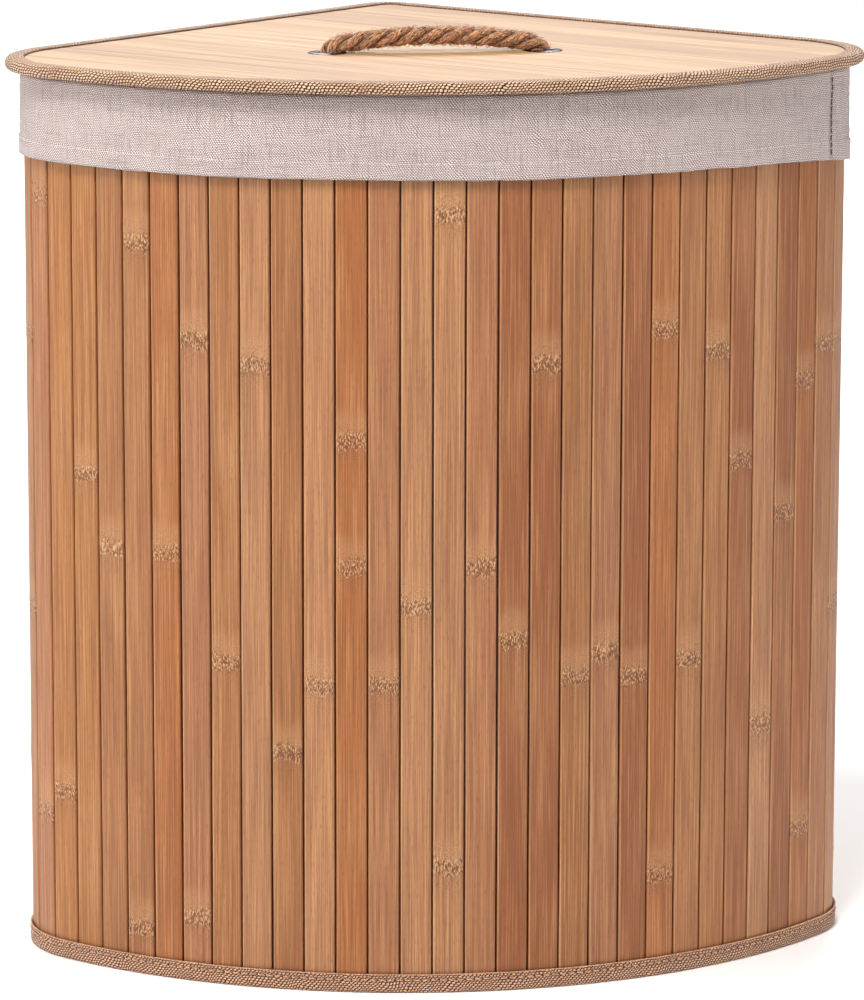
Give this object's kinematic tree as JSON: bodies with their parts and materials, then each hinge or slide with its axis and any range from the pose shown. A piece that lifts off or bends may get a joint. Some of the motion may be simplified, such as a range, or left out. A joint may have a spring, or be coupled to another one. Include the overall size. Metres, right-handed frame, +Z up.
{
  "type": "corner laundry hamper with lid",
  "caption": "Quarter-round corner laundry hamper: upright bamboo slats on cloth, a lift-out liner folded over the rim, and a loose tape-bound lid with a twisted rope handle.",
  "frame": {"origin": "on the floor, under the middle of the lid's outline", "axes": "+Z up; the curved front faces -Y; the square back corner points to +Y; the object mirrors across X = 0"},
  "size_m": [0.4768, 0.4026, 0.5144],
  "materials": {
    "bamboo_slat": "satin bamboo strip with fine upright fibres and knuckle marks",
    "backing_cloth": "thin woven backing cloth",
    "binding_tape": "basket-woven tan tape with a stitched line",
    "plain_wood": "plain sanded wood",
    "liner_cloth": "greige twill cloth",
    "lid_bamboo": "pale bamboo boards, satin",
    "lining_cloth": "plain lining cloth",
    "eyelet_nickel": "nickel-plated, satin",
    "jute_rope": "three-strand twisted jute"
  },
  "bodies": {
    "wall": {"front_slat_01": "bamboo_slat", "front_slat_02": "bamboo_slat", "front_slat_03": "bamboo_slat", "front_slat_04": "bamboo_slat", "front_slat_05": "bamboo_slat", "front_slat_06": "bamboo_slat", "front_slat_07": "bamboo_slat", "front_slat_08": "bamboo_slat", "front_slat_09": "bamboo_slat", "front_slat_10": "bamboo_slat", "front_slat_11": "bamboo_slat", "front_slat_12": "bamboo_slat", "front_slat_13": "bamboo_slat", "front_slat_14": "bamboo_slat", "front_slat_15": "bamboo_slat", "front_slat_16": "bamboo_slat", "front_slat_17": "bamboo_slat", "front_slat_18": "bamboo_slat", "front_slat_19": "bamboo_slat", "front_slat_20": "bamboo_slat", "front_slat_21": "bamboo_slat", "front_slat_22": "bamboo_slat", "front_slat_23": "bamboo_slat", "front_slat_24": "bamboo_slat", "front_slat_25": "bamboo_slat", "front_slat_26": "bamboo_slat", "front_slat_27": "bamboo_slat", "front_slat_28": "bamboo_slat", "left_corner_slats": "bamboo_slat", "right_corner_slats": "bamboo_slat", "left_back_slats": "bamboo_slat", "right_back_slats": "bamboo_slat", "backing_cloth": "backing_cloth", "rim_binding": "binding_tape", "rim_hoop": "plain_wood", "base_binding": "binding_tape", "base_cloth": "backing_cloth", "base_board": "plain_wood"},
    "liner": {"liner_front": "liner_cloth", "liner_left": "liner_cloth", "liner_right": "liner_cloth", "liner_floor": "liner_cloth", "liner_fold": "liner_cloth", "cuff_front": "liner_cloth", "cuff_left": "liner_cloth", "cuff_right": "liner_cloth"},
    "lid": {"lid_panel": "lid_bamboo", "lid_lining": "lining_cloth", "lid_binding": "binding_tape", "left_eyelet": "eyelet_nickel", "right_eyelet": "eyelet_nickel", "left_washer": "eyelet_nickel", "right_washer": "eyelet_nickel"},
    "rope_handle": {"rope": "jute_rope", "left_knot": "jute_rope", "right_knot": "jute_rope"}
  },
  "joints": [
    {"name": "liner_lift", "type": "slide", "parent": "wall", "child": "liner", "axis": [0, 0, 1], "range_m": [0, 0.5]},
    {"name": "lid_lift", "type": "slide", "parent": "liner", "child": "lid", "axis": [0, 0, 1], "range_m": [0, 0.3]},
    {"name": "rope_pull", "type": "slide", "parent": "lid", "child": "rope_handle", "axis": [0, 0, 1], "range_m": [0, 0.0177]}
  ]
}
